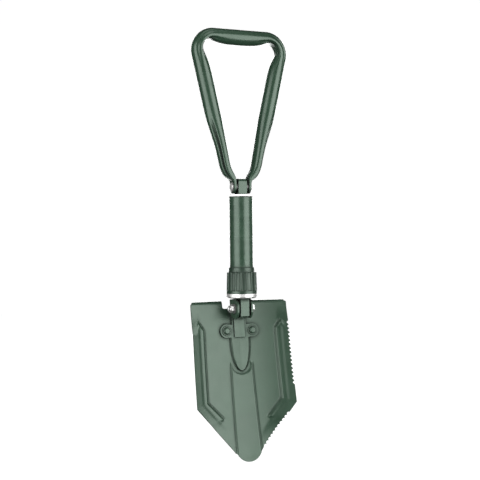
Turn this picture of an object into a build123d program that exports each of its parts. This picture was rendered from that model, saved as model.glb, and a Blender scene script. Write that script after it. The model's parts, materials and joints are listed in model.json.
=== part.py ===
"""Folding camp shovel: pressed steel blade, hinged tube shaft with a screw collar, hinged D-handle.

Units are millimetres. The shovel stands upright on the tip of its blade: +Z runs up the shaft,
X is across the blade and -Y is the front, the hollow side of the blade. The origin is under the
middle of the shaft, level with the tip.
"""
from build123d import *
from math import asin, atan2, cos, radians, sin, sqrt
import os

os.makedirs("parts", exist_ok=True)

# ---- driving dimensions --------------------------------------------------------------------

# main heights above the tip
blade_pivot_z = 203.0
handle_pivot_z = 368.0
handle_bar_z = 570.5

# blade outline, seen from the front
blade_top_z = 212.5
blade_top_half = 70.2
shoulder_half = 71.7
shoulder_z = 75.0
tip_radius = 18.0
tip_half_angle = 40.2            # between the lower edge and the middle of the blade
notch_half = 22.5
notch_z = 202.0
blade_corner = 6.0

# blade sheet: it curves forward towards the tip and is dished from side to side
sheet = 1.8
dish_radius = 1250.0             # lengthwise
cross_radius = 285.0             # side to side
hinge_gap = 18.0                 # from the pivot back to the front face of the sheet
hinge_lean = 7.5                 # slope of the sheet beside the pivot, degrees
step_depth = 8.64                # foot step turned back at the top edge
step_half = 68.0
bead_width = 4.6
bead_height = 1.0
rib_height = 1.4
tongue_height = 2.6

# teeth
saw_pitch = 5.4
saw_depth = 2.4
saw_top_z = 181.0
saw_teeth = 16
scallop_pitch = 5.3
scallop_radius = 2.75
scallop_inset = 2.0
scallop_count = 11

# hinge bracket
bracket_sheet = 2.0
ear_outer = 11.0
ear_inner = 8.7
cam_radius = 13.9
cam_flat = 13.2
tab_radius = 9.0
tab_x = 18.7
tab_z = 172.0
bracket_low_z = 163.0
channel_half = 7.5
channel_height = 1.4
rivet_washer = 0.6
bracket_rivet_shank = 2.9
bracket_rivet_flange = 6.4
bracket_rivet_dome = 4.7
rivet_places = [(-tab_x, tab_z), (tab_x, tab_z)]

# blade hinge bolt
bolt_radius = 3.0
running = 0.05                   # radial clearance of the hinge pins
bolt_washer = 1.2
nut_across_flats = 10.0
nut_height = 6.4

# shaft core
tongue_half = 6.0
shaft_radius = 12.0
shaft_bore = 10.0
shaft_bottom_z = 217.3
shaft_top_z = 333.0
pin_radius = 2.0
pin_half_length = 11.7
lower_pin_heights = (238.0, 247.0)
upper_pin_heights = (304.0, 318.0)
upper_tongue_top_z = 379.0
spacer_gap = 0.3

# outer tube
tube_radius = 15.9
tube_bore = 14.3
tube_bottom_z = 255.0
tube_top_z = 354.8
end_ring_radius = 17.3
end_ring_height = 2.7
bush_length = 12.0

# lock collar and its thrust ring
ring_bottom_z = 217.4
ring_top_z = 223.5
ring_radius = 20.9
ring_low_radius = 18.1
ring_bevel = 1.8
collar_bottom_z = 223.8
collar_top_z = 258.3
collar_bore = 16.2
collar_neck_radius = 17.5
collar_neck_z = 253.0
collar_low_radius = 19.8
collar_rim_z = 227.5
flute_count = 16
flute_height = 0.9
insert_top_z = 229.0

# D-handle
handle_tube_radius = 10.75
handle_wall = 1.2
handle_corner_half = 62.3        # where leg and bar centre lines would meet
handle_corner_radius = 20.0
leg_round = 70.0                 # above this height over the pivot the leg is a plain round tube
leg_half = 32.6                  # centre line of the leg at that height
leg_sections = [                 # height over the pivot, centre, half thickness, half depth
    (8.0, 10.8, 1.7, 9.2), (14.0, 15.6, 5.4, 10.4), (24.0, 20.9, 6.5, 11.2),
    (38.0, 24.9, 7.6, 11.5), (54.0, 28.8, 9.6, 11.2), (leg_round, leg_half, 10.75, 10.75),
]
handle_ear_inner = 9.0
handle_ear_outer = 12.5
handle_ear_radius = 9.0
rivet_radius = 3.5
rivet_head_radius = 5.5
rivet_head_height = 1.4

# ---- sizes worked out from them ------------------------------------------------------------

dish_axis_y = hinge_gap - dish_radius * cos(radians(hinge_lean))
dish_axis_z = blade_pivot_z + dish_radius * sin(radians(hinge_lean))
dish_axis = Axis((0, dish_axis_y, dish_axis_z), (-1, 0, 0))
section_plane = Plane.XY.offset(dish_axis_z)
cross_centre_y = dish_axis_y + dish_radius - cross_radius
point_z = tip_radius - tip_radius / sin(radians(tip_half_angle))


def sheet_front(z):
    """Y of the front face of the sheet on its middle line, at height z."""
    return dish_axis_y + sqrt(dish_radius**2 - (dish_axis_z - z) ** 2)


def dish_layer(front, back):
    """A layer of the dished sheet, from front to back of the sheet's front face."""
    with BuildSketch(section_plane) as section:
        with Locations((0, cross_centre_y)):
            Circle(cross_radius + back)
            Circle(cross_radius - front, mode=Mode.SUBTRACT)
        with Locations((0, cross_centre_y + cross_radius)):
            Rectangle(160, 120, mode=Mode.INTERSECT)
    revolve(section.sketch, axis=dish_axis, revolution_arc=22)


def keep_outline():
    """Keep what lies inside the pending outline, seen from the front."""
    extrude(amount=300, both=True, mode=Mode.INTERSECT)


def across(x):
    """A plane square to the pivots, at x: its own x is world Y and its own y is world Z."""
    return Plane((x, 0, 0), x_dir=(0, 1, 0), z_dir=(1, 0, 0))


def dish_plane(x, z, front):
    """A plane lying on the sheet at x, z and raised by front, with its z axis pointing forward."""
    turn = asin(x / cross_radius)
    reach = dish_radius - cross_radius + (cross_radius - front) * cos(turn)
    lean = asin((dish_axis_z - z) / reach)
    forward = (-sin(turn), -cos(turn) * cos(lean), cos(turn) * sin(lean))
    return Plane((x, dish_axis_y + reach * cos(lean), z), z_dir=forward)


def finish(piece, name):
    """Label a piece and write its STEP file."""
    piece.part.label = name
    export_step(piece.part, f"parts/{name}.step")


# ---- blade ---------------------------------------------------------------------------------

with BuildPart() as tongue_bulge:
    dish_layer(tongue_height, 0.2)
    with BuildSketch(Plane.XZ):
        with BuildLine():
            Polyline((0, 160.5), (13.3, 160.5), (12.7, 152))
            Spline((12.7, 152), (11.3, 140), (6.8, 128), (0, 118.3))
            mirror(about=Plane.YZ)
        make_face()
    keep_outline()

with BuildPart() as centre_rib:
    dish_layer(rib_height, 0.2)
    with BuildSketch(Plane.XZ):
        Polygon((-15, 128), (15, 128), (17, 20), (0, 2), (-17, 20), align=None)
        with Locations((0, 128)):
            Circle(12.5, mode=Mode.SUBTRACT)
    keep_outline()

with BuildPart() as side_beads:
    dish_layer(bead_height, 0.2)
    with BuildSketch(Plane.XZ):
        with BuildLine():
            Polyline((61, 186), (52.5, 174), (54, 79.5), (31, 55))
        trace(line_width=bead_width)
        mirror(about=Plane.YZ)
    keep_outline()

edge_lean = atan2(shoulder_half - blade_top_half, blade_top_z - shoulder_z)
saw_notch = [(-saw_depth, 0), (0, -saw_pitch / 2), (saw_depth, 0), (0, saw_pitch / 2)]
saw_places = []
for tooth in range(saw_teeth):
    z = saw_top_z - tooth * saw_pitch
    saw_places.append((blade_top_half + (blade_top_z - z) * edge_lean, z))

scallop_places = []
for scallop in range(scallop_count):
    along = 20 + scallop * scallop_pitch
    x = shoulder_half - along * sin(radians(tip_half_angle))
    z = shoulder_z - along * cos(radians(tip_half_angle))
    x += (scallop_radius - scallop_inset) * cos(radians(tip_half_angle))
    z -= (scallop_radius - scallop_inset) * sin(radians(tip_half_angle))
    scallop_places.append((x, z))

with BuildPart() as blade:
    dish_layer(0, sheet)
    with BuildSketch(Plane.XZ) as outline:
        with BuildLine():
            Polyline(
                (0, notch_z), (notch_half, notch_z), (notch_half, blade_top_z),
                (blade_top_half, blade_top_z), (shoulder_half, shoulder_z), (0, point_z),
            )
            mirror(about=Plane.YZ)
        make_face()
        fillet(outline.vertices().sort_by(Axis.Y)[0], tip_radius)
        fillet(outline.vertices().filter_by(lambda v: abs(v.X) > 60 and v.Y > 200), blade_corner)
    keep_outline()
    add(tongue_bulge.part)
    add(centre_rib.part)
    add(side_beads.part)
    with BuildSketch(Plane.XY.offset(blade_top_z - sheet)):
        with Locations((0, sheet_front(blade_top_z) - cross_radius)):
            Circle(cross_radius + step_depth)
            Circle(cross_radius + 0.3, mode=Mode.SUBTRACT)
        with Locations((0, hinge_gap)):
            Rectangle(2 * step_half, 60, mode=Mode.INTERSECT)
            Rectangle(2 * notch_half, 60, mode=Mode.SUBTRACT)
    extrude(amount=sheet)
    with BuildSketch(Plane.XZ):
        with Locations(*saw_places):
            Polygon(*saw_notch)
        with Locations(*scallop_places):
            Circle(scallop_radius)
    extrude(amount=100, both=True, mode=Mode.SUBTRACT)
finish(blade, "blade")

# ---- hinge bracket and the rivets that hold it ---------------------------------------------

with BuildPart() as bracket_base:
    dish_layer(bracket_sheet, 0)
    with BuildSketch(Plane.XZ):
        with BuildLine():
            Polyline(
                (0, 214), (ear_outer, 214), (ear_outer, 189), (10.2, 187), (10.2, 180),
                (tab_x + 0.5, 180.9), (tab_x + 0.5, bracket_low_z + 0.1), (0, bracket_low_z),
            )
            mirror(about=Plane.YZ)
        make_face()
        with Locations(*rivet_places):
            Circle(tab_radius)
    keep_outline()

with BuildPart() as bracket_channel:
    dish_layer(bracket_sheet + channel_height, 0.2 - bracket_sheet)
    with BuildSketch(Plane.XZ):
        with Locations((0, bracket_low_z + 0.4)):
            Rectangle(2 * channel_half, 26, align=(Align.CENTER, Align.MIN))
    keep_outline()

with BuildPart() as hinge_bracket:
    with BuildSketch(across(-ear_outer)) as ear:
        with Locations((0, blade_pivot_z)):
            Circle(cam_radius)
            Rectangle(2 * cam_flat, 2 * cam_flat, mode=Mode.INTERSECT)
        with BuildLine():
            Polyline((0, 203), (4, 216), (30, 213), (30, 189), (6, 191), (0, 203))
        make_face()
    extrude(amount=2 * ear_outer)
    with BuildSketch(section_plane):
        with Locations((0, cross_centre_y)):
            Circle(cross_radius - 0.5 * bracket_sheet)
        with Locations((0, cross_centre_y + cross_radius)):
            Rectangle(80, 120, mode=Mode.INTERSECT)
    revolve(axis=dish_axis, revolution_arc=16, mode=Mode.INTERSECT)
    with Locations((0, 0, blade_pivot_z)):
        Box(2 * ear_inner, 120, 60, mode=Mode.SUBTRACT)
    add(bracket_base.part)
    add(bracket_channel.part)
    with BuildSketch(across(-ear_outer)):
        with Locations((0, blade_pivot_z)):
            Circle(bolt_radius + running)
    extrude(amount=2 * ear_outer, mode=Mode.SUBTRACT)
finish(hinge_bracket, "hinge_bracket")

with BuildPart() as bracket_rivets:
    for x, z in rivet_places:
        front = dish_plane(x, z, bracket_sheet)
        back = dish_plane(x, z, -sheet - rivet_washer - 0.1)
        with BuildSketch(Plane.XZ.offset(-back.origin.Y - 0.5)):
            with Locations((x, z)):
                Circle(bracket_rivet_shank)
        extrude(amount=back.origin.Y - front.origin.Y + 1.0)
        with BuildSketch(front):
            Circle(bracket_rivet_flange)
        extrude(amount=0.9)
        with BuildSketch(front):
            Circle(bracket_rivet_dome)
        extrude(amount=3.2)
        fillet(bracket_rivets.edges(Select.LAST).sort_by(Axis(front.origin, front.z_dir))[-1], 2.1)
        with BuildSketch(back):
            Circle(4.6)
        extrude(amount=-1.4, taper=12)
finish(bracket_rivets, "bracket_rivets")

with BuildPart() as rivet_washers:
    for x, z in rivet_places:
        with BuildSketch(dish_plane(x, z, -sheet - rivet_washer - 0.05)):
            Circle(6.4)
            Circle(bracket_rivet_shank + 0.2, mode=Mode.SUBTRACT)
        extrude(amount=rivet_washer)
finish(rivet_washers, "rivet_washers")

# ---- blade hinge bolt ----------------------------------------------------------------------

with BuildPart() as blade_pivot_bolt:
    with BuildSketch(across(-ear_outer - bolt_washer - nut_height - 1.8)):
        with Locations((0, blade_pivot_z)):
            Circle(bolt_radius)
    extrude(amount=2 * (ear_outer + bolt_washer) + nut_height + 1.8)
    with BuildSketch(across(ear_outer + bolt_washer)):
        with Locations((0, blade_pivot_z)):
            RegularPolygon(nut_across_flats / 2, 6, major_radius=False, rotation=12)
    extrude(amount=4.2)
    chamfer(blade_pivot_bolt.faces().sort_by(Axis.X)[0].edges(), 0.6)
finish(blade_pivot_bolt, "blade_pivot_bolt")

with BuildPart() as blade_pivot_nut:
    with BuildSketch(across(-ear_outer - bolt_washer)):
        with Locations((0, blade_pivot_z)):
            RegularPolygon(nut_across_flats / 2, 6, major_radius=False, rotation=20)
            Circle(bolt_radius, mode=Mode.SUBTRACT)
    extrude(amount=-nut_height + 1.8)
    with BuildSketch(across(-ear_outer - bolt_washer - nut_height + 1.8)):
        with Locations((0, blade_pivot_z)):
            Circle(nut_across_flats / 2 - 0.4)
            Circle(bolt_radius, mode=Mode.SUBTRACT)
    extrude(amount=-1.8)
finish(blade_pivot_nut, "blade_pivot_nut")

with BuildPart() as blade_pivot_washers:
    for side in (-ear_outer - bolt_washer, ear_outer):
        with BuildSketch(across(side)):
            with Locations((0, blade_pivot_z)):
                Circle(6.4)
                Circle(bolt_radius + running, mode=Mode.SUBTRACT)
        extrude(amount=bolt_washer)
finish(blade_pivot_washers, "blade_pivot_washers")

with BuildPart() as blade_spacers:
    for side in (-ear_inner, tongue_half + spacer_gap):
        with BuildSketch(across(side)):
            with Locations((0, blade_pivot_z)):
                Circle(7.0)
                Circle(bolt_radius + running, mode=Mode.SUBTRACT)
        extrude(amount=ear_inner - tongue_half - spacer_gap)
finish(blade_spacers, "blade_spacers")

# ---- shaft core ----------------------------------------------------------------------------

with BuildPart() as lower_tongue:
    with BuildSketch(across(-tongue_half)) as profile:
        with BuildLine():
            Polyline(
                (-12, 193.5), (-12, shaft_bottom_z), (10, shaft_bottom_z),
                (10, 190.5), (-4, 190.5), (-12, 193.5),
            )
        make_face()
        fillet(profile.vertices().group_by(Axis.Y)[0], 2.5)
    extrude(amount=2 * tongue_half)
    with BuildSketch(Plane.XY.offset(shaft_bottom_z)):
        Circle(shaft_bore)
    extrude(amount=40)
    chamfer(lower_tongue.faces().sort_by(Axis.Z)[-1].edges(), 1.0)
    with BuildSketch(across(-tongue_half)):
        with Locations((0, blade_pivot_z)):
            Circle(bolt_radius + running)
    extrude(amount=2 * tongue_half, mode=Mode.SUBTRACT)
    with BuildSketch(across(-shaft_radius)):
        with Locations(*[(0, z) for z in lower_pin_heights]):
            Circle(pin_radius)
    extrude(amount=2 * shaft_radius, mode=Mode.SUBTRACT)
finish(lower_tongue, "lower_tongue")

with BuildPart() as inner_shaft:
    with BuildSketch(Plane.XY.offset(shaft_bottom_z)):
        Circle(shaft_radius)
        Circle(shaft_bore, mode=Mode.SUBTRACT)
    extrude(amount=shaft_top_z - shaft_bottom_z)
    with BuildSketch(across(-shaft_radius)):
        with Locations(*[(0, z) for z in lower_pin_heights + upper_pin_heights]):
            Circle(pin_radius)
    extrude(amount=2 * shaft_radius, mode=Mode.SUBTRACT)
finish(inner_shaft, "inner_shaft")

with BuildPart() as upper_tongue:
    with BuildSketch(Plane.XY.offset(shaft_top_z - 36)):
        Circle(shaft_bore)
    extrude(amount=36)
    chamfer(upper_tongue.faces().sort_by(Axis.Z)[0].edges(), 1.0)
    with BuildSketch(across(-tongue_half)) as profile:
        with Locations((0, (shaft_top_z + upper_tongue_top_z) / 2)):
            Rectangle(16, upper_tongue_top_z - shaft_top_z)
        fillet(profile.vertices().group_by(Axis.Y)[-1], 5)
    extrude(amount=2 * tongue_half)
    with BuildSketch(across(-tongue_half)):
        with Locations((0, handle_pivot_z)):
            Circle(rivet_radius + running)
    extrude(amount=2 * tongue_half, mode=Mode.SUBTRACT)
    with BuildSketch(across(-shaft_radius)):
        with Locations(*[(0, z) for z in upper_pin_heights]):
            Circle(pin_radius)
    extrude(amount=2 * shaft_radius, mode=Mode.SUBTRACT)
finish(upper_tongue, "upper_tongue")

with BuildPart() as tongue_pins:
    with BuildSketch(across(-pin_half_length)):
        with Locations(*[(0, z) for z in lower_pin_heights + upper_pin_heights]):
            Circle(pin_radius)
    extrude(amount=2 * pin_half_length)
finish(tongue_pins, "tongue_pins")

# ---- outer tube ----------------------------------------------------------------------------

with BuildPart() as outer_tube:
    with BuildSketch(Plane.XY.offset(tube_bottom_z)):
        Circle(tube_radius)
        Circle(tube_bore, mode=Mode.SUBTRACT)
    extrude(amount=tube_top_z - tube_bottom_z)
finish(outer_tube, "outer_tube")

with BuildPart() as end_ring:
    with BuildSketch(Plane.XY.offset(tube_top_z)):
        Circle(end_ring_radius)
        Circle(tube_bore, mode=Mode.SUBTRACT)
    extrude(amount=end_ring_height)
    chamfer(end_ring.edges().filter_by(GeomType.CIRCLE).sort_by(SortBy.RADIUS)[-2:], 0.5)
finish(end_ring, "end_ring")

for name, z in (("lower_guide_bush", tube_bottom_z + 2), ("upper_guide_bush", tube_bottom_z + 58)):
    with BuildPart() as guide_bush:
        with BuildSketch(Plane.XY.offset(z)):
            Circle(tube_bore)
            Circle(shaft_radius + running, mode=Mode.SUBTRACT)
        extrude(amount=bush_length)
    finish(guide_bush, name)

# ---- thrust ring and lock collar -----------------------------------------------------------

with BuildPart() as thrust_ring:
    with BuildSketch(Plane.XZ):
        with BuildLine():
            Polyline(
                (shaft_radius + running, ring_bottom_z), (ring_low_radius, ring_bottom_z),
                (ring_radius, ring_bottom_z + ring_bevel), (ring_radius, ring_top_z),
                (shaft_radius + running, ring_top_z), (shaft_radius + running, ring_bottom_z),
            )
        make_face()
    revolve(axis=Axis.Z)
finish(thrust_ring, "thrust_ring")

with BuildPart() as lock_collar:
    with BuildSketch(Plane.XZ):
        with BuildLine():
            Polyline(
                (collar_bore, collar_bottom_z), (ring_radius, collar_bottom_z),
                (ring_radius, collar_rim_z), (collar_low_radius, collar_rim_z + 0.8),
                (18.6, collar_neck_z - 2), (collar_neck_radius, collar_neck_z),
                (collar_neck_radius, collar_top_z), (collar_bore, collar_top_z),
                (collar_bore, collar_bottom_z),
            )
        make_face()
    revolve(axis=Axis.Z)
    with BuildSketch(Plane.XY.offset(collar_rim_z)):
        with PolarLocations(collar_low_radius + flute_height - 2.2, flute_count):
            Circle(2.2)
    extrude(amount=collar_neck_z - 1 - collar_rim_z, taper=1.5)
    with Locations((0, 0, collar_bottom_z)):
        Cylinder(collar_bore, 80, mode=Mode.SUBTRACT)
finish(lock_collar, "lock_collar")

with BuildPart() as thread_insert:
    with BuildSketch(Plane.XY.offset(collar_bottom_z)):
        Circle(collar_bore)
        Circle(shaft_radius + running, mode=Mode.SUBTRACT)
    extrude(amount=insert_top_z - collar_bottom_z)
finish(thread_insert, "thread_insert")

# ---- D-handle ------------------------------------------------------------------------------


def handle_leg_plane(height, x, side):
    """A plane square to the leg on one side of the handle, at height above its pivot."""
    lean = side * leg_lean
    origin = (side * x, 0, handle_pivot_z + height)
    return Plane(origin, x_dir=(cos(lean), 0, -sin(lean)), z_dir=(sin(lean), 0, cos(lean)))


leg_lean = atan2(handle_corner_half - leg_half, handle_bar_z - handle_pivot_z - leg_round)
with BuildPart() as d_handle:
    with BuildLine(Plane.XZ) as frame_line:
        FilletPolyline(
            (-leg_half, handle_pivot_z + leg_round), (-handle_corner_half, handle_bar_z),
            (handle_corner_half, handle_bar_z), (leg_half, handle_pivot_z + leg_round),
            radius=handle_corner_radius,
        )
    with BuildSketch(Plane(frame_line.line @ 0, z_dir=frame_line.line % 0)):
        Circle(handle_tube_radius)
        Circle(handle_tube_radius - handle_wall, mode=Mode.SUBTRACT)
    sweep()
    for side in (-1, 1):
        for height, x, thick, deep in leg_sections:
            with BuildSketch(handle_leg_plane(height, x, side)):
                Ellipse(thick, deep)
        loft()
        with BuildSketch(across(side * handle_ear_inner)):
            with Locations((0, handle_pivot_z)):
                Circle(handle_ear_radius)
            with Locations((0, handle_pivot_z + 5)):
                Rectangle(2 * handle_ear_radius, 10)
        extrude(amount=side * (handle_ear_outer - handle_ear_inner))
        with BuildSketch(across(side * handle_ear_inner)):
            with Locations((0, handle_pivot_z)):
                Circle(rivet_radius + running)
        extrude(amount=side * 20, mode=Mode.SUBTRACT)
    with Locations((0, 0, handle_pivot_z)):
        Box(2 * handle_ear_inner, 40, 60, mode=Mode.SUBTRACT)
finish(d_handle, "d_handle")

with BuildPart() as handle_rivet:
    with BuildSketch(across(-handle_ear_outer - rivet_washer)):
        with Locations((0, handle_pivot_z)):
            Circle(rivet_radius)
    extrude(amount=2 * (handle_ear_outer + rivet_washer))
    for side in (-1, 1):
        with BuildSketch(across(side * (handle_ear_outer + rivet_washer))):
            with Locations((0, handle_pivot_z)):
                Circle(rivet_head_radius)
        extrude(amount=side * rivet_head_height)
    fillet(handle_rivet.edges().group_by(Axis.X)[0] + handle_rivet.edges().group_by(Axis.X)[-1], 1.2)
finish(handle_rivet, "handle_rivet")

with BuildPart() as handle_washers:
    for side in (-1, 1):
        with BuildSketch(across(side * handle_ear_outer)):
            with Locations((0, handle_pivot_z)):
                Circle(rivet_head_radius + 1.2)
                Circle(rivet_radius + running, mode=Mode.SUBTRACT)
        extrude(amount=side * rivet_washer)
finish(handle_washers, "handle_washers")

with BuildPart() as handle_spacers:
    for side in (-1, 1):
        with BuildSketch(across(side * (tongue_half + spacer_gap))):
            with Locations((0, handle_pivot_z)):
                Circle(6.5)
                Circle(rivet_radius + running, mode=Mode.SUBTRACT)
        extrude(amount=side * (handle_ear_inner - tongue_half - spacer_gap))
finish(handle_spacers, "handle_spacers")
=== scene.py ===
"""The camp shovel's looks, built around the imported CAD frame.

Shapes are worked out in millimetres and turned into metres when a mesh is made. The studio is in metres.
"""
import json
from math import cos, pi, radians, sin, sqrt

import bmesh
import bpy
import numpy as np
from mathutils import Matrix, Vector, geometry


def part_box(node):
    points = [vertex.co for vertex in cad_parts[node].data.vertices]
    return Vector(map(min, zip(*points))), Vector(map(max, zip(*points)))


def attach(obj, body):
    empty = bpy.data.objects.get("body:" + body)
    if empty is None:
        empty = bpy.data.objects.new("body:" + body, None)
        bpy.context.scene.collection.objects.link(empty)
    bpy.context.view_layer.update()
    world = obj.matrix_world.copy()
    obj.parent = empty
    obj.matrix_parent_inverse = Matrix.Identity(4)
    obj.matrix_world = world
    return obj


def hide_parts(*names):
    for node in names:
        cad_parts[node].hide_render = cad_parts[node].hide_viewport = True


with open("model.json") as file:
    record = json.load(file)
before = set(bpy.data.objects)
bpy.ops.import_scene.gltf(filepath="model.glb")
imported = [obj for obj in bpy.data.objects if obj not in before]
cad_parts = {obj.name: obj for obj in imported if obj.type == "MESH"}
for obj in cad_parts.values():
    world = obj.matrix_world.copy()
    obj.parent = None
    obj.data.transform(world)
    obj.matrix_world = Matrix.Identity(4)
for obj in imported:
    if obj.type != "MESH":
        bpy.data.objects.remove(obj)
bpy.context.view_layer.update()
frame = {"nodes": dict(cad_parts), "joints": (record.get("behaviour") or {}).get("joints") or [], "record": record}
MM = 0.001


# ---- sizes read from the frame --------------------------------------------------------------

def high_corner_mm(node):
    """The highest corner of a node's box, in millimetres."""
    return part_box(node)[1] / MM


def joint_height_mm(name):
    """The height of a hinge axis."""
    joint = next(j for j in frame["joints"] if j["name"] == name)
    return joint["pos_m"][2] / MM


blade_high = high_corner_mm("blade")
handle_high = high_corner_mm("d_handle")
BLADE_PIVOT = joint_height_mm("blade_fold")
HANDLE_PIVOT = joint_height_mm("handle_fold")

# blade: outline seen from the front
BLADE_TOP = blade_high.z
SHOULDER_INSET = 0.85  # leaves room for the tilted sheet's thickness
SHOULDER_HALF = blade_high.x - SHOULDER_INSET
SHOULDER_Z = 75.0
TOP_HALF = SHOULDER_HALF - 1.5
NOTCH_HALF = 22.5
NOTCH_Z = 202.0
TIP_RADIUS = 18.0
TIP_ANGLE = radians(40.2)
TIP_LIFT = 0.65  # leaves room for the tilted sheet's thickness
SHEET = 1.8
STEP_HALF = 67.0
STEP_BEND = 6.0

# blade: the dished surface
DISH_RADIUS = 1250.0
CROSS_RADIUS = 285.0
HINGE_GAP = 18.0
HINGE_LEAN = radians(7.5)
DISH_Y = HINGE_GAP - DISH_RADIUS * cos(HINGE_LEAN)
DISH_Z = BLADE_PIVOT + DISH_RADIUS * sin(HINGE_LEAN)

# blade: pressed shapes
BEAD = [(61.0, 187.0), (52.6, 174.0), (54.0, 79.5), (31.0, 55.0)]
BEAD_HEIGHT = 2.1
BEAD_WALL = 2.2
BORDER = 16.5
BORDER_SLOPE = 0.24
BORDER_EASE = 9.0
BORDER_FADE_LOW = (20.0, 66.0)
BORDER_FADE_HIGH = (206.0, 172.0)
TONGUE_HEIGHT = 2.3
TONGUE_TOP = 160.5
TONGUE_HALF = 13.0
TONGUE_TIP = 118.3
RIB_HEIGHT = 1.5
RIB_TOP = 130.0
RIB_HALF = (15.0, 17.2)
RIB_HOLLOW_LIFT = 8.0  # centre of the hollow round the tongue's tip, over that tip
RIB_HOLLOW_WIDEN = 1.12
RIB_HOLLOW_RADII = (11.6, 14.2)
GROOVE_OFFSET = 1.3
GROOVE_WIDTH = 0.8
BEAD_GROOVE, RIB_GROOVE, TONGUE_GROOVE = 0.6, 0.45, 0.65  # depths

# teeth
SAW_TOP, SAW_PITCH, SAW_DEPTH, SAW_TEETH = 183.7, 5.4, 2.5, 16
SCALLOP_START, SCALLOP_PITCH, SCALLOP_DEPTH, SCALLOPS = 17.3, 5.3, 2.0, 11
SCALLOP_STEPS = 8


def smooth(edge0, edge1, value):
    """A soft step from 0 at edge0 to 1 at edge1."""
    t = np.clip((value - edge0) / (edge1 - edge0), 0, 1)
    return t * t * (3 - 2 * t)


# ---- blade ----------------------------------------------------------------------------------

def sheet_y(x, z):
    """Y of the plain dished sheet's front face."""
    reach = DISH_RADIUS - CROSS_RADIUS + np.sqrt(CROSS_RADIUS**2 - x**2)
    return DISH_Y + np.sqrt(reach**2 - (DISH_Z - z) ** 2)


def segment_distance(x, z, start, end):
    """Signed distance from a segment, positive on its right-hand side, and the place along it."""
    (x0, z0), (x1, z1) = start, end
    dx, dz = x1 - x0, z1 - z0
    length = sqrt(dx * dx + dz * dz)
    along = np.clip(((x - x0) * dx + (z - z0) * dz) / length**2, 0, 1)
    gap = np.hypot(x - x0 - along * dx, z - z0 - along * dz)
    side = np.sign((x - x0) * dz - (z - z0) * dx)
    return gap * np.where(side == 0, 1, side), along * length


def bead_field(x, z):
    """Signed distance from the side bead, positive outside it, and distance to its nearer end."""
    best = np.full(x.shape, 1e6)
    signed = np.full(x.shape, 1e6)
    place = np.zeros(x.shape)
    run = 0.0
    for start, end in zip(BEAD, BEAD[1:]):
        distance, along = segment_distance(x, z, start, end)
        closer = np.abs(distance) < best
        best = np.where(closer, np.abs(distance), best)
        signed = np.where(closer, -distance, signed)
        place = np.where(closer, run + along, place)
        run += np.hypot(end[0] - start[0], end[1] - start[1])
    return signed, np.minimum(place, run - place)


def edge_gap(x, z):
    """Distance in from the side and lower edges of the blade."""
    side, _ = segment_distance(x, z, (TOP_HALF, BLADE_TOP), (SHOULDER_HALF, SHOULDER_Z))
    low = (SHOULDER_HALF - x) * cos(TIP_ANGLE) + (z - SHOULDER_Z) * sin(TIP_ANGLE)
    return np.minimum(np.abs(side), low)


def groove(gap, centre):
    """A narrow groove, 1 along its centre."""
    return np.exp(-((gap - centre) / GROOVE_WIDTH) ** 2)


def tongue_half(z):
    """Half width of the tongue-shaped bulge at height z."""
    t = np.clip((z - TONGUE_TIP) / (TONGUE_TOP - TONGUE_TIP), 0, 1)
    return TONGUE_HALF * np.sqrt(np.clip(1 - (1 - t) ** 2.1, 0, 1))


def pressing(x, z):
    """How far the pressed shapes stand forward of the plain sheet."""
    ax = np.abs(x)
    # borders lean forward outside the beads
    gap = edge_gap(ax, z)
    lean = np.clip(BORDER - gap, 0, None)
    fade = smooth(*BORDER_FADE_LOW, z) * smooth(*BORDER_FADE_HIGH, z)
    out = BORDER_SLOPE * fade * lean * smooth(0, BORDER_EASE, lean)
    # side beads: a steep inner wall in a groove, and an outside that stays nearly as high
    signed, end = bead_field(ax, z)
    crest = smooth(-BEAD_WALL / 2, BEAD_WALL / 2, signed) * (1 - 0.12 * smooth(1.5, 6, signed))
    run_out = smooth(0, 4 + 0.9 * np.abs(signed), end)
    out += BEAD_HEIGHT * crest * run_out
    out -= BEAD_GROOVE * groove(signed, -BEAD_WALL * 0.8) * smooth(0, 5, end)
    # centre rib, with a hollow round the tip of the tongue
    half = RIB_HALF[0] + (RIB_HALF[1] - RIB_HALF[0]) * (RIB_TOP - z) / RIB_TOP
    rib = smooth(0.9, -0.9, ax - half)
    rise = z - TONGUE_TIP - RIB_HOLLOW_LIFT
    hollow = np.hypot(ax / RIB_HOLLOW_WIDEN, np.clip(rise, None, 0) * 1.02 + np.clip(rise, 0, None))
    rib *= smooth(*RIB_HOLLOW_RADII, hollow) * smooth(RIB_TOP + 1, RIB_TOP - 3, z)
    out += RIB_HEIGHT * rib * smooth(-1, 12, z)
    seam = groove(ax - half, GROOVE_OFFSET) * smooth(RIB_TOP + 1, RIB_TOP - 5, z) * smooth(2, 22, z)
    out -= RIB_GROOVE * seam * smooth(9.0, RIB_HOLLOW_RADII[1], hollow)
    # tongue-shaped bulge in a fine groove
    wall = np.where(z > TONGUE_TIP, ax - tongue_half(z), 9.0)
    below = np.hypot(ax, np.minimum(z - TONGUE_TIP, 0))
    wall = np.where(z > TONGUE_TIP + 4, wall, np.minimum(np.where(z > TONGUE_TIP, wall, 9), below))
    bulge = smooth(0.8, -0.8, wall) * smooth(TONGUE_TOP + 8, TONGUE_TOP + 3, z)
    out += TONGUE_HEIGHT * bulge * (1 - 0.012 * ax)
    return out - TONGUE_GROOVE * groove(wall, GROOVE_OFFSET) * smooth(TONGUE_TOP + 4, TONGUE_TOP, z)


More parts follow.
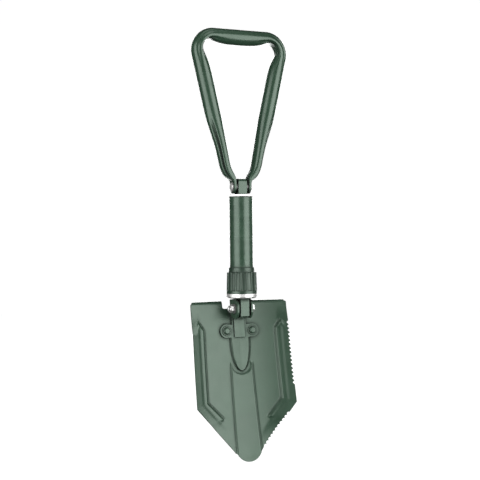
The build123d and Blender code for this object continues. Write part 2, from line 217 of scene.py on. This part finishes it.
def blade_surface(x, s):
    """The front face at x and at s, the distance up the sheet, which bends back at the foot step."""
    bend_start = BLADE_TOP - STEP_BEND
    z = np.minimum(s, bend_start)
    y = sheet_y(x, z) - pressing(x, z)
    past = np.clip(s - bend_start, 0, None)
    turn = np.minimum(past / STEP_BEND, pi / 2)
    flat = np.clip(past - STEP_BEND * pi / 2, 0, None)
    return np.stack([x, y + STEP_BEND * (1 - np.cos(turn)) + flat, z + STEP_BEND * np.sin(turn)], -1)


def round_corner(before, corner, after, radius, steps=6):
    """Points of an arc that rounds a corner of an outline."""
    corner = Vector(corner)
    one = (Vector(before) - corner).normalized()
    two = (Vector(after) - corner).normalized()
    half = one.angle(two) / 2
    centre = corner + (one + two).normalized() * radius / sin(half)
    first = corner + one * radius / np.tan(half) - centre
    last = corner + two * radius / np.tan(half) - centre
    sweep = first.angle_signed(last)
    points = []
    for step in range(steps + 1):
        turn = -sweep * step / steps
        points.append((centre.x + first.x * cos(turn) - first.y * sin(turn),
                       centre.y + first.x * sin(turn) + first.y * cos(turn)))
    return points


def blade_outline():
    """The flattened outline, clockwise from the notch: right half with teeth, plain left half."""
    # how far the foot step runs back past its bend, to the back of the CAD blade's box
    flat_step = blade_high.y - sheet_y(np.array(NOTCH_HALF), np.array(BLADE_TOP)) - STEP_BEND
    step_top = float(BLADE_TOP + STEP_BEND * (pi / 2 - 1) + flat_step)
    lean = (SHOULDER_HALF - TOP_HALF) / (BLADE_TOP - SHOULDER_Z)
    # each corner of the notch and the step, with its neighbours and its radius
    step_corners = [
        ((0, NOTCH_Z), (NOTCH_HALF, NOTCH_Z), (NOTCH_HALF, step_top), 3),
        ((NOTCH_HALF, NOTCH_Z), (NOTCH_HALF, step_top), (STEP_HALF, step_top), 2.5),
        ((NOTCH_HALF, step_top), (STEP_HALF, step_top), (STEP_HALF, BLADE_TOP), 4),
        ((STEP_HALF, step_top), (STEP_HALF, BLADE_TOP - 1), (TOP_HALF, BLADE_TOP - 1.2), 0.8),
        ((STEP_HALF, BLADE_TOP - 1.2), (TOP_HALF, BLADE_TOP - 1.6), (SHOULDER_HALF, SHOULDER_Z), 1.6),
    ]
    top = []
    for before, corner, after, radius in step_corners:
        top += round_corner(before, corner, after, radius)
    saw = []
    for tooth in range(SAW_TEETH):
        z = SAW_TOP - tooth * SAW_PITCH
        edge = TOP_HALF + (BLADE_TOP - z) * lean
        saw.append((edge, z))
        saw.append((edge - SAW_DEPTH, z - 0.42 * SAW_PITCH))
        saw.append((edge - SAW_DEPTH * 0.8, z - 0.56 * SAW_PITCH))
    z = SAW_TOP - SAW_TEETH * SAW_PITCH
    saw.append((TOP_HALF + (BLADE_TOP - z) * lean, z))
    scallops = []
    for scallop in range(SCALLOPS):
        for step in range(SCALLOP_STEPS):
            along = SCALLOP_START + (scallop + step / SCALLOP_STEPS) * SCALLOP_PITCH
            depth = SCALLOP_DEPTH * abs(sin(pi * step / SCALLOP_STEPS)) ** 0.7
            scallops.append((SHOULDER_HALF - along * sin(TIP_ANGLE) - depth * cos(TIP_ANGLE),
                             SHOULDER_Z - along * cos(TIP_ANGLE) + depth * sin(TIP_ANGLE)))
    shoulder = round_corner((TOP_HALF, BLADE_TOP), (SHOULDER_HALF, SHOULDER_Z),
                            (SHOULDER_HALF - 50 * sin(TIP_ANGLE), SHOULDER_Z - 50 * cos(TIP_ANGLE)), 1.5, 4)
    point = (0, TIP_RADIUS - TIP_RADIUS / sin(TIP_ANGLE) + TIP_LIFT)
    tip = round_corner((SHOULDER_HALF, SHOULDER_Z), point, (-SHOULDER_HALF, SHOULDER_Z), TIP_RADIUS, 20)
    right = top + saw + shoulder + scallops
    left = [(-x, z) for x, z in reversed(top + shoulder)]
    return right + tip + left


def densify(points, spacing):
    """Adds evenly spaced points to a closed outline."""
    out = []
    for start, end in zip(points, points[1:] + points[:1]):
        length = sqrt((end[0] - start[0]) ** 2 + (end[1] - start[1]) ** 2)
        if length < 1e-4:
            continue
        count = max(1, int(round(length / spacing)))
        for step in range(count):
            t = step / count
            out.append((start[0] + (end[0] - start[0]) * t, start[1] + (end[1] - start[1]) * t))
    return out


def make_blade(spacing=0.85, slope_step=0.15):
    """The pressed blade: a triangulated flat outline, bent and pressed into shape, with a thickness."""
    outline = densify(blade_outline(), spacing)
    xs = np.arange(-SHOULDER_HALF, SHOULDER_HALF, spacing)
    zs = np.arange(1.0, BLADE_TOP + 14, spacing)
    grid_x, grid_z = np.meshgrid(xs, zs)
    grid_x[1::2] += spacing / 2
    inner = []
    ring = np.array(outline)
    for x, z in zip(grid_x.ravel(), grid_z.ravel()):
        if np.min((ring[:, 0] - x) ** 2 + (ring[:, 1] - z) ** 2) > (0.6 * spacing) ** 2:
            inner.append((x, z))
    points = [Vector(p) for p in outline + inner]
    loop = list(range(len(outline)))
    verts, _, faces, _, _, _ = geometry.delaunay_2d_cdt(points, [], [loop], 1, 1e-5)
    flat = np.array([(v.x, v.y) for v in verts])
    x, s = flat[:, 0], flat[:, 1]
    used = sorted({v for face in faces for v in face})
    place = {v: k for k, v in enumerate(used)}
    faces = [[place[v] for v in face] for face in faces]
    x, s = x[used], s[used]
    front = blade_surface(x, s)
    along_x = blade_surface(x + slope_step, s) - blade_surface(x - slope_step, s)
    along_s = blade_surface(x, s + slope_step) - blade_surface(x, s - slope_step)
    normal = np.cross(along_x, along_s)
    normal /= np.linalg.norm(normal, axis=1)[:, None]
    back = front - normal * SHEET
    return solid_sheet("pressed_blade", front, back, faces)


def solid_sheet(name, front, back, faces):
    """Two matching faces of a sheet joined round their edges."""
    count = len(front)
    edges = {}
    for face in faces:
        for a, b in zip(face, list(face[1:]) + [face[0]]):
            edges[(a, b)] = True
    rim = [(a, b) for a, b in edges if (b, a) not in edges]
    shell = [tuple(face) for face in faces]
    shell += [tuple(count + v for v in reversed(face)) for face in faces]
    shell += [(b, a, count + a, count + b) for a, b in rim]
    return mesh_object(name, np.vstack([front, back]), shell)


def mesh_object(name, points_mm, faces, smooth_angle=40):
    """A mesh object in the row frame from points in millimetres, with sharp edges kept sharp."""
    mesh = bpy.data.meshes.new(name)
    mesh.from_pydata([tuple(p) for p in np.asarray(points_mm) * MM], [], faces)
    mesh.update()
    shape = bmesh.new()
    shape.from_mesh(mesh)
    bmesh.ops.recalc_face_normals(shape, faces=shape.faces)
    shape.to_mesh(mesh)
    shape.free()
    mesh.shade_smooth()
    mesh.set_sharp_from_angle(angle=radians(smooth_angle))
    obj = bpy.data.objects.new(name, mesh)
    bpy.context.scene.collection.objects.link(obj)
    return obj


# ---- D-handle -------------------------------------------------------------------------------

TUBE_R = 10.75
BAR_Z = handle_high.z - TUBE_R
CORNER_HALF = 62.3
CORNER_RADIUS = 20.0
CRUSH_INSET = np.array([6.5, 7.0])  # from a corner of the centre line in to the middle of its crushed bend
CRUSH_REACH = 23.0
EAR_TOP = 9.0
LEG_TOP = 112.0

# height over the pivot, centre line, half thickness, half depth, depth of the crease, squareness
LEG_SECTIONS = [
    (-EAR_TOP, 10.75, 1.75, 1.0, 0.0, 1.0),
    (-7.5, 10.75, 1.75, 5.2, 0.0, 1.0),
    (-4.0, 10.75, 1.75, 8.1, 0.0, 1.0),
    (0.0, 10.75, 1.75, 9.0, 0.0, 1.0),
    (5.0, 10.9, 1.9, 9.3, 0.0, 1.0),
    (EAR_TOP, 11.6, 2.6, 9.6, 0.1, 0.9),
    (14.0, 15.0, 5.0, 10.2, 0.7, 0.6),
    (20.0, 19.2, 6.2, 10.8, 1.1, 0.4),
    (28.0, 22.4, 6.6, 11.2, 1.3, 0.3),
    (40.0, 25.0, 6.9, 11.4, 1.3, 0.25),
    (56.0, 28.4, 7.6, 11.3, 1.2, 0.15),
    (74.0, 32.9, 9.1, 11.0, 0.9, 0.05),
    (96.0, 38.5, 10.6, 10.8, 0.1, 0.0),
    (LEG_TOP, 42.2, TUBE_R, TUBE_R, 0.0, 0.0),
]


def leg_path():
    """The right leg's sections from the ear to the corner, then half of the top bar."""
    rows = []
    table = np.array(LEG_SECTIONS)
    heights = np.concatenate([np.linspace(-EAR_TOP, EAR_TOP, 15)[:-1], np.linspace(EAR_TOP, LEG_TOP, 62)])
    for height in heights:
        values = [smooth_between(table[:, 0], table[:, column], height) for column in range(1, 6)]
        rows.append([values[0], HANDLE_PIVOT + height, *values[1:], 0.0])
    low = np.array([rows[-1][0], rows[-1][1]])
    corner = np.array([CORNER_HALF, BAR_Z])
    middle = np.array([0.0, BAR_Z])
    arc = np.array(round_corner(low, corner, middle, CORNER_RADIUS, 26))
    straight = np.linspace(low, arc[0], 26)[1:-1]
    bar = np.linspace(arc[-1], middle, 22)[1:]
    for point in np.vstack([straight, arc, bar]):
        near = np.hypot(*(point - corner + CRUSH_INSET))
        crush = float(np.exp(-((near / CRUSH_REACH) ** 2.2)))
        rows.append([point[0], point[1], TUBE_R, TUBE_R, 0.0, 0.0, crush])
    return rows


def smooth_between(xs, ys, x):
    """Cubic interpolation through a table without overshoot."""
    i = int(np.clip(np.searchsorted(xs, x) - 1, 0, len(xs) - 2))
    slopes = np.diff(ys) / np.diff(xs)

    def tangent(k):
        if k == 0 or k == len(xs) - 1 or slopes[k - 1] * slopes[k] <= 0:
            return 0.0 if 0 < k < len(xs) - 1 else slopes[min(k, len(slopes) - 1)]
        return 2 * slopes[k - 1] * slopes[k] / (slopes[k - 1] + slopes[k])

    width = xs[i + 1] - xs[i]
    t = np.clip((x - xs[i]) / width, 0, 1)
    a, b = ys[i], ys[i + 1]
    m0, m1 = tangent(i) * width, tangent(i + 1) * width
    return a + (b - a) * t * t * (3 - 2 * t) + m0 * t * (1 - t) ** 2 - m1 * t * t * (1 - t)


def ridge_pair(turns, place, width):
    """Two narrow ridges along the tube, at place half turns from its outer side, front and back."""
    front = np.exp(-((turns - pi * place) / width) ** 2)
    return front + np.exp(-((turns - pi * (2 - place)) / width) ** 2)


def handle_section(thick, deep, crease, square, crush, turns):
    """Offsets outward (away from the opening) and to the front of a ring of points round the tube."""
    c, s = np.cos(turns), np.sin(turns)
    power = 1 - 0.72 * square
    out = thick * np.sign(c) * np.abs(c) ** power
    front = deep * np.sign(s) * np.abs(s) ** power
    # crease pressed into the outer face of the crushed leg
    dent = ridge_pair(turns, 0.24, 0.2)
    out -= 3.4 * crease * dent * np.sign(c)
    front -= 1.6 * crease * dent * np.sign(s)
    # crushed inside of a bend: the inner wall is driven towards the outer one, and the sides fold
    inner = np.clip(-c, 0, 1)
    out += crush * (0.78 * thick) * inner**1.3
    fold = ridge_pair(turns, 0.68, 0.2)
    front += crush * (0.06 * deep * np.sign(s) - 0.30 * deep * np.sign(s) * fold)
    valley = ridge_pair(turns, 0.36, 0.16)
    front -= crush * 0.10 * deep * valley * np.sign(s)
    return out, front


def make_handle(around=72):
    """The D-handle: one bent tube with crushed corners, creased legs and flattened ears."""
    turns = np.linspace(0, 2 * pi, around, endpoint=False)
    rows = leg_path()
    places = np.array([(r[0], r[1]) for r in rows])
    tangents = np.gradient(places, axis=0)
    tangents[0:10] = (0, 1)  # the flat ears stand straight up
    tangents[-1] = (-1, 0)
    tangents /= np.linalg.norm(tangents, axis=1)[:, None]
    kernel = np.array([1, 2, 3, 2, 1]) / 9
    for axis in (0, 1):
        padded = np.pad(tangents[:, axis], 2, mode="edge")
        tangents[:, axis] = np.convolve(padded, kernel, mode="valid")
    tangents /= np.linalg.norm(tangents, axis=1)[:, None]
    rings = []
    for (x, z, thick, deep, crease, square, crush), (tx, tz) in zip(rows, tangents):
        out, front = handle_section(thick, deep, crease, square, crush, turns)
        rings.append(np.stack([x + out * tz, -front, z - out * tx], -1))
    rings += [ring * (-1, 1, 1) for ring in reversed(rings[:-1])]
    points = np.vstack(rings)
    faces = []
    for row in range(len(rings) - 1):
        for k in range(around):
            a, b = row * around + k, row * around + (k + 1) % around
            faces.append((a, b, b + around, a + around))
    faces.append(tuple(range(around)))
    last = (len(rings) - 1) * around
    faces.append(tuple(range(last, last + around)))
    return mesh_object("bent_d_handle", points, faces, 60)


# ---- materials ------------------------------------------------------------------------------

class Nodes:
    """A material's node tree with short calls to add and link nodes."""

    def __init__(self, name):
        self.material = bpy.data.materials.new(name)
        self.material.use_nodes = True
        self.tree = self.material.node_tree
        self.shader = self.tree.nodes["Principled BSDF"]
        self.coords = self.tree.nodes.new("ShaderNodeTexCoord").outputs["Object"]

    def add(self, kind, **settings):
        """Adds a node and sets its properties."""
        node = self.tree.nodes.new(kind)
        for key, value in settings.items():
            setattr(node, key, value)
        return node

    def link(self, output, socket):
        """Joins an output to an input."""
        self.tree.links.new(output, socket)

    def noise(self, scale, detail=3.0, roughness=0.5, stretch=None):
        """Noise with features about 1/scale metres across."""
        node = self.add("ShaderNodeTexNoise")
        node.inputs["Scale"].default_value = scale
        node.inputs["Detail"].default_value = detail
        node.inputs["Roughness"].default_value = roughness
        if stretch:
            mapping = self.add("ShaderNodeMapping")
            mapping.inputs["Scale"].default_value = stretch
            self.link(self.coords, mapping.inputs["Vector"])
            self.link(mapping.outputs["Vector"], node.inputs["Vector"])
        else:
            self.link(self.coords, node.inputs["Vector"])
        return node.outputs["Fac"]

    def ramp(self, value, stops):
        """Maps a value through (position, colour) stops."""
        node = self.add("ShaderNodeValToRGB")
        elements = node.color_ramp.elements
        while len(elements) < len(stops):
            elements.new(0.5)
        for element, (position, colour) in zip(elements, stops):
            element.position = position
            element.color = (*colour, 1) if len(colour) == 3 else (colour[0],) * 3 + (1,)
        self.link(value, node.inputs["Fac"])
        return node.outputs["Color"]

    def multiply(self, one, two):
        """The product of a socket and another socket or number."""
        node = self.add("ShaderNodeMath", operation="MULTIPLY")
        self.link(one, node.inputs[0])
        if isinstance(two, float):
            node.inputs[1].default_value = two
        else:
            self.link(two, node.inputs[1])
        return node.outputs[0]

    def mix(self, factor, one, two):
        """Mixes two colours; each may be a colour or a socket."""
        node = self.add("ShaderNodeMix", data_type="RGBA")
        self.link(factor, node.inputs["Factor"])
        for socket, value in ((node.inputs[6], one), (node.inputs[7], two)):
            if isinstance(value, tuple):
                socket.default_value = (*value, 1)
            else:
                self.link(value, socket)
        return node.outputs[2]

    def bump(self, height, strength, distance, below=None):
        """A bumped normal, on top of another one if it is given."""
        node = self.add("ShaderNodeBump")
        node.inputs["Strength"].default_value = strength
        node.inputs["Distance"].default_value = distance
        self.link(height, node.inputs["Height"])
        if below is not None:
            self.link(below, node.inputs["Normal"])
        return node.outputs["Normal"]

    def creases(self, reach, power):
        """1 in the open, falling towards 0 deep in gaps and against walls."""
        occlusion = self.add("ShaderNodeAmbientOcclusion", samples=8)
        occlusion.inputs["Distance"].default_value = reach
        curve = self.add("ShaderNodeMath", operation="POWER")
        self.link(occlusion.outputs["AO"], curve.inputs[0])
        curve.inputs[1].default_value = power
        return curve.outputs[0]

    def pointiness(self, low, high):
        """1 on convex edges."""
        geometry_node = self.add("ShaderNodeNewGeometry")
        return self.ramp(geometry_node.outputs["Pointiness"], [(low, (0,)), (high, (1,))])


def srgb(red, green, blue):
    """An 8-bit sRGB colour as linear light."""
    def linear(value):
        value /= 255
        return value / 12.92 if value <= 0.04045 else ((value + 0.055) / 1.055) ** 2.4
    return (linear(red), linear(green), linear(blue))


def coated(name, base, rough, wear=0.5, texture=0.02):
    """Semi-gloss powder coat: slight mottling, fine orange peel, painted shade in the creases and rubbed edges."""
    nodes = Nodes(name)
    dark = tuple(v * 0.86 for v in base)
    light = tuple(min(1, v * 1.12) for v in base)
    tone = nodes.ramp(nodes.noise(26, 4), [(0.3, dark), (0.7, light)])
    rubbed = tuple(v * 1.55 + 0.012 for v in base)
    edges = nodes.pointiness(0.52, 0.62)
    patch = nodes.ramp(nodes.noise(90, 5, 0.65), [(0.42, (0,)), (0.62, (1,))])
    worn = nodes.mix(nodes.multiply(nodes.multiply(edges, patch), wear), tone, rubbed)
    # painted shade: by ambient occlusion, the base colour goes towards a near-black copy of itself in creases, in
    # gaps and against walls; the same mask raises the roughness there
    crease_shade = tuple(v * 0.06 for v in base)
    open_air = nodes.creases(0.006, 3.0)
    nodes.link(nodes.mix(open_air, crease_shade, worn), nodes.shader.inputs["Base Color"])
    nodes.shader.inputs["Specular Tint"].default_value = (0.84, 1.0, 0.88, 1)
    nodes.shader.inputs["Specular IOR Level"].default_value = 0.5
    gloss = nodes.ramp(nodes.noise(55, 4, 0.6), [(0.25, (rough - 0.04,)), (0.75, (rough + 0.06,))])
    nodes.link(nodes.mix(open_air, (0.9, 0.9, 0.9), gloss), nodes.shader.inputs["Roughness"])
    peel = nodes.bump(nodes.noise(1500, 2), texture, 0.0002)
    nodes.link(nodes.bump(nodes.noise(240, 2), texture * 1.2, 0.0004, peel), nodes.shader.inputs["Normal"])
    return nodes.material


def bright_metal(name, base, rough, metallic=1.0):
    """Zinc plate or the smooth white ring: faint cloudy spangle, fine stretched marks and painted shade in the
    creases.
    """
    nodes = Nodes(name)
    dark = tuple(v * 0.8 for v in base)
    tone = nodes.ramp(nodes.noise(160, 4, 0.6), [(0.3, dark), (0.65, base)])
    # painted shade: by ambient occlusion, the base colour darkens towards near black in creases and gaps
    crease_shade = tuple(v * 0.08 for v in base)
    nodes.link(nodes.mix(nodes.creases(0.004, 1.8), crease_shade, tone), nodes.shader.inputs["Base Color"])
    nodes.shader.inputs["Metallic"].default_value = metallic
    gloss = nodes.ramp(nodes.noise(300, 4, 0.6), [(0.3, (rough - 0.05,)), (0.7, (rough + 0.1,))])
    nodes.link(gloss, nodes.shader.inputs["Roughness"])
    marks = nodes.noise(400, 3, 0.6, (1, 1, 12))
    nodes.link(nodes.bump(marks, 0.12, 0.0002), nodes.shader.inputs["Normal"])
    return nodes.material


def dark_steel(name):
    """Oiled forged steel, nearly black, for what sits inside."""
    nodes = Nodes(name)
    dark, light = (0.035, 0.037, 0.036), (0.10, 0.105, 0.10)
    tone = nodes.ramp(nodes.noise(120, 5, 0.65), [(0.3, dark), (0.7, light)])
    nodes.link(tone, nodes.shader.inputs["Base Color"])
    nodes.shader.inputs["Metallic"].default_value = 0.9
    gloss = nodes.ramp(nodes.noise(200, 4), [(0.3, (0.35,)), (0.7, (0.55,))])
    nodes.link(gloss, nodes.shader.inputs["Roughness"])
    nodes.link(nodes.bump(nodes.noise(500, 3), 0.15, 0.0003), nodes.shader.inputs["Normal"])
    return nodes.material


def moulded(name, base):
    """Plain moulded plastic with a fine grain."""
    nodes = Nodes(name)
    tone = nodes.ramp(nodes.noise(80, 3), [(0.3, tuple(v * 0.8 for v in base)), (0.7, base)])
    nodes.link(tone, nodes.shader.inputs["Base Color"])
    gloss = nodes.ramp(nodes.noise(200, 3), [(0.3, (0.5,)), (0.7, (0.65,))])
    nodes.link(gloss, nodes.shader.inputs["Roughness"])
    nodes.link(nodes.bump(nodes.noise(1400, 2), 0.2, 0.0002), nodes.shader.inputs["Normal"])
    return nodes.material


MATERIALS = {
    "coated_blade": coated("blade_coat", srgb(33, 51, 39), 0.34, wear=0.6, texture=0.035),
    "coated_tube": coated("tube_coat", srgb(33, 51, 39), 0.27, wear=0.45),
    "coated_collar": coated("collar_coat", srgb(27, 41, 32), 0.33, wear=0.6),
    "zinc_plate": bright_metal("zinc_plate", (0.6, 0.6, 0.59), 0.42, 0.8),
    "white_ring": bright_metal("satin_ring", (0.85, 0.85, 0.84), 0.45, 0.1),
    "dark_steel": dark_steel("oiled_steel"),
    "bush_plastic": moulded("bush_plastic", (0.03, 0.03, 0.03)),
}
SLOT_OF = {entry["node"]: entry["material_slot"] for entry in frame["record"]["subparts"]}


def paint(obj, slot):
    """Puts a slot's material on an object."""
    obj.data.materials.clear()
    obj.data.materials.append(MATERIALS[slot])


def paint_frame():
    """Gives every carried-over CAD node its slot's material."""
    for name, obj in frame["nodes"].items():
        paint(obj, SLOT_OF[name])


# ---- studio, in metres ----------------------------------------------------------------------

VIEW_YAW = radians(-20.5)
VIEW_DISTANCE = 1.175
VIEW_HEIGHT = 0.296
VIEW_ROLL = radians(-0.6)
VIEW_SHIFT = 0.0018
LENS = 64.85
SENSOR_WIDTH = 36
LIGHT_AIM_HEIGHT = 0.29

# name, degrees round from the camera's side, height, size, watts, distance, seen in reflections
SOFTBOXES = [
    ("left_softbox", -46, 0.36, (1.3, 1.7), 36, 1.3, True),
    ("right_softbox", 57, 0.42, (1.3, 1.6), 39, 1.3, True),
    ("back_left", -140, 0.7, (1.2, 1.4), 14, 1.8, False),
    ("back_right", 140, 0.7, (1.2, 1.4), 14, 1.8, False),
    ("back_light", 176, 0.5, (1.5, 1.4), 40, 1.5, True),
    ("top_light", 10, 1.9, (0.9, 0.9), 6, 0.5, True),
]

# radius and height of each ring of the backdrop, from the middle of its floor to the top of its wall
BACKDROP_RINGS = [(0.0, -0.002), (2.6, -0.002), (2.9, 0.08), (3.0, 0.4), (3.0, 3.2)]
BACKDROP_AROUND = 96


def add_camera():
    """A long lens level with the middle of the shovel, a little to its left."""
    data = bpy.data.cameras.new("camera")
    data.lens = LENS
    data.sensor_width = SENSOR_WIDTH
    camera = bpy.data.objects.new("camera", data)
    bpy.context.scene.collection.objects.link(camera)
    camera.location = (sin(VIEW_YAW) * VIEW_DISTANCE, -cos(VIEW_YAW) * VIEW_DISTANCE, VIEW_HEIGHT)
    camera.rotation_mode = "XYZ"
    aim = Vector((-cos(VIEW_YAW) * VIEW_SHIFT, -sin(VIEW_YAW) * VIEW_SHIFT, VIEW_HEIGHT))
    direction = aim - camera.location
    camera.rotation_euler = direction.to_track_quat("-Z", "Y").to_euler()
    camera.rotation_euler.rotate_axis("Z", VIEW_ROLL)
    bpy.context.scene.camera = camera


def add_softbox(name, turn, height, size, power, distance, reflected):
    """A soft area light at turn degrees from the camera's side, aimed at the shovel."""
    data = bpy.data.lights.new(name, "AREA")
    data.shape = "RECTANGLE"
    data.size, data.size_y = size
    data.energy = power
    light = bpy.data.objects.new(name, data)
    bpy.context.scene.collection.objects.link(light)
    angle = VIEW_YAW + radians(turn)
    light.location = (sin(angle) * distance, -cos(angle) * distance, height)
    aim = Vector((0, 0, LIGHT_AIM_HEIGHT)) - light.location
    light.rotation_euler = aim.to_track_quat("-Z", "Y").to_euler()
    light.visible_glossy = reflected
    light.visible_camera = False


def add_backdrop():
    """A white round floor and wall, hidden from reflections, diffuse light and shadows."""
    shape = bmesh.new()
    around = BACKDROP_AROUND
    rows = []
    for radius, height in BACKDROP_RINGS:
        row = []
        for k in range(around if radius else 1):
            turn = 2 * pi * k / around
            row.append(shape.verts.new((radius * cos(turn), radius * sin(turn), height)))
        rows.append(row)
    for k in range(around):
        shape.faces.new((rows[0][0], rows[1][k], rows[1][(k + 1) % around]))
    for low, high in zip(rows[1:], rows[2:]):
        for k in range(around):
            shape.faces.new((low[k], low[(k + 1) % around], high[(k + 1) % around], high[k]))
    mesh = bpy.data.meshes.new("backdrop")
    shape.to_mesh(mesh)
    shape.free()
    mesh.shade_smooth()
    backdrop = bpy.data.objects.new("backdrop", mesh)
    bpy.context.scene.collection.objects.link(backdrop)
    material = bpy.data.materials.new("pale_paper")
    material.use_nodes = True
    shader = material.node_tree.nodes["Principled BSDF"]
    shader.inputs["Base Color"].default_value = (0.02, 0.02, 0.02, 1)
    shader.inputs["Roughness"].default_value = 1.0
    shader.inputs["Emission Color"].default_value = (1, 1, 1, 1)
    shader.inputs["Emission Strength"].default_value = 1.0
    mesh.materials.append(material)
    backdrop.visible_glossy = False
    backdrop.visible_diffuse = False
    backdrop.visible_shadow = False


def add_studio():
    """Camera, backdrop, soft lights and a faint white world."""
    add_camera()
    add_backdrop()
    for softbox in SOFTBOXES:
        add_softbox(*softbox)
    world = bpy.data.worlds.new("studio")
    world.use_nodes = True
    world.node_tree.nodes["Background"].inputs["Color"].default_value = (1, 1, 1, 1)
    world.node_tree.nodes["Background"].inputs["Strength"].default_value = 0.03
    bpy.context.scene.world = world
    bpy.context.scene.view_settings.view_transform = "Standard"
    bpy.context.scene.view_settings.look = "None"


# ---- build ----------------------------------------------------------------------------------

paint_frame()

blade = make_blade()
paint(blade, "coated_blade")
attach(blade, "blade_unit")
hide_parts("blade")

handle = make_handle()
paint(handle, "coated_tube")
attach(handle, "handle")
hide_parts("d_handle")

add_studio()
